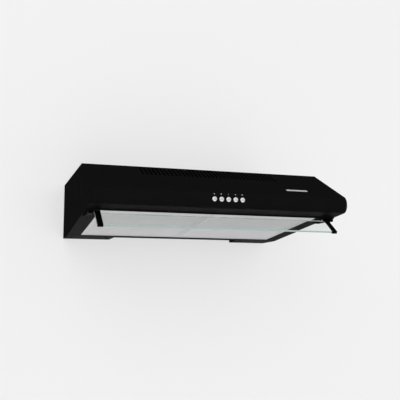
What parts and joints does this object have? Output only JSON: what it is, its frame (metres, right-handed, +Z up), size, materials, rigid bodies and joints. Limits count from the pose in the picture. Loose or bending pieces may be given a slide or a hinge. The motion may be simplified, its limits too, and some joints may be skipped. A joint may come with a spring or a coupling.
{
  "type": "under cabinet range hood",
  "caption": "Black under-cabinet range hood with a sloping front, tilting glass visor, push buttons, grease filters and a top air outlet.",
  "frame": {"origin": "on the top face, at the axis of the air outlet, which is the middle of the four cabinet screws", "axes": "+X along the hood to the right seen from the front, -Y to the front, +Z up"},
  "size_m": [0.6, 0.5075, 0.1808],
  "materials": {
    "black_paint": "satin black powder coat",
    "zinc": "zinc plated sheet",
    "steel": "ground steel",
    "silver_trim": "brushed",
    "lamp_lens": "frosted",
    "white_plastic": "moulded",
    "grey_plastic": "moulded",
    "filter_handle": "light grey moulded",
    "black_plastic": "moulded",
    "filter_frame": "mill finish",
    "filter_mesh": "expanded mesh layers",
    "glass": "clear toughened glass, green at the edge",
    "fan_plastic": "moulded",
    "motor_metal": "plated can",
    "flap_plastic": "moulded",
    "button_silver": "satin chrome"
  },
  "bodies": {
    "casing": {"top_plate": "black_paint", "rear_panel": "black_paint", "rear_bottom_plate": "black_paint", "left_rear_stiffener": "zinc", "right_rear_stiffener": "zinc", "rear_plate_screws": "black_paint", "left_side_panel": "black_paint", "right_side_panel": "black_paint", "front_cover": "black_paint", "trim_plate": "silver_trim", "service_wall": "black_paint", "front_crossbar": "black_paint", "left_lamp_lens": "lamp_lens", "right_lamp_lens": "lamp_lens", "left_lamp_housing": "white_plastic", "right_lamp_housing": "white_plastic", "left_hinge_block": "black_plastic", "right_hinge_block": "black_plastic", "left_hinge_pin": "steel", "right_hinge_pin": "steel", "hinge_block_screws": "black_paint", "switch_block": "black_plastic", "switch_bracket": "zinc", "left_fan_housing": "grey_plastic", "right_fan_housing": "grey_plastic", "left_inlet_ring": "black_plastic", "right_inlet_ring": "black_plastic", "motor": "motor_metal", "motor_bracket": "zinc", "capacitor": "white_plastic", "capacitor_clip": "zinc", "terminal_box": "grey_plastic", "terminal_lid": "grey_plastic", "terminal_block": "white_plastic", "cable_gland": "black_plastic", "outlet_collar": "black_plastic", "flap_pin": "steel"},
    "visor": {"visor_glass": "glass", "left_visor_arm": "black_plastic", "right_visor_arm": "black_plastic"},
    "left_filter": {"left_filter_frame": "filter_frame", "left_filter_pad": "filter_mesh", "left_filter_handle": "filter_handle"},
    "right_filter": {"right_filter_frame": "filter_frame", "right_filter_pad": "filter_mesh", "right_filter_handle": "filter_handle"},
    "left_latch": {"left_filter_latch": "filter_handle"},
    "right_latch": {"right_filter_latch": "filter_handle"},
    "fan": {"fan_wheel": "fan_plastic", "motor_shaft": "steel"},
    "front_damper": {"front_flap": "flap_plastic"},
    "rear_damper": {"rear_flap": "flap_plastic"},
    "light_key": {"light_button": "button_silver"},
    "fan_off_key": {"fan_off_button": "button_silver"},
    "low_speed_key": {"low_speed_button": "button_silver"},
    "medium_speed_key": {"medium_speed_button": "button_silver"},
    "high_speed_key": {"high_speed_button": "button_silver"}
  },
  "joints": [
    {"name": "visor_tilt", "type": "hinge", "parent": "casing", "child": "visor", "pos_m": [0, -0.2659, -0.1243], "axis": [1, 0, 0], "range_deg": [-36, 0]},
    {"name": "left_filter_swing", "type": "hinge", "parent": "casing", "child": "left_filter", "pos_m": [-0.1325, 0.06825, -0.14501], "axis": [1, 0, 0], "range_deg": [0, 30]},
    {"name": "left_latch_slide", "type": "slide", "parent": "left_filter", "child": "left_latch", "axis": [0, 0.9953, -0.0971], "range_m": [0, 0.005], "stiffness_N_per_m": 400, "springref_m": -0.004},
    {"name": "right_filter_swing", "type": "hinge", "parent": "casing", "child": "right_filter", "pos_m": [0.1325, 0.06825, -0.14501], "axis": [1, 0, 0], "range_deg": [0, 30]},
    {"name": "right_latch_slide", "type": "slide", "parent": "right_filter", "child": "right_latch", "axis": [0, 0.9953, -0.0971], "range_m": [0, 0.005], "stiffness_N_per_m": 400, "springref_m": -0.004},
    {"name": "light_press", "type": "slide", "parent": "casing", "child": "light_key", "axis": [0, 1, 0], "range_m": [0, 0.003], "stiffness_N_per_m": 600, "springref_m": -0.002},
    {"name": "fan_off_press", "type": "slide", "parent": "casing", "child": "fan_off_key", "axis": [0, 1, 0], "range_m": [0, 0.003], "stiffness_N_per_m": 600, "springref_m": -0.002},
    {"name": "low_speed_press", "type": "slide", "parent": "casing", "child": "low_speed_key", "axis": [0, 1, 0], "range_m": [0, 0.003], "stiffness_N_per_m": 600, "springref_m": -0.002},
    {"name": "medium_speed_press", "type": "slide", "parent": "casing", "child": "medium_speed_key", "axis": [0, 1, 0], "range_m": [0, 0.003], "stiffness_N_per_m": 600, "springref_m": -0.002},
    {"name": "high_speed_press", "type": "slide", "parent": "casing", "child": "high_speed_key", "axis": [0, 1, 0], "range_m": [0, 0.003], "stiffness_N_per_m": 600, "springref_m": -0.002},
    {"name": "fan_spin", "type": "hinge", "parent": "casing", "child": "fan", "pos_m": [0, 0.004, -0.07], "axis": [1, 0, 0], "continuous": true},
    {"name": "front_flap_swing", "type": "hinge", "parent": "casing", "child": "front_damper", "pos_m": [0, 0, 0.008], "axis": [-1, 0, 0], "range_deg": [0, 80]},
    {"name": "rear_flap_swing", "type": "hinge", "parent": "casing", "child": "rear_damper", "pos_m": [0, 0, 0.008], "axis": [1, 0, 0], "range_deg": [0, 80]}
  ]
}
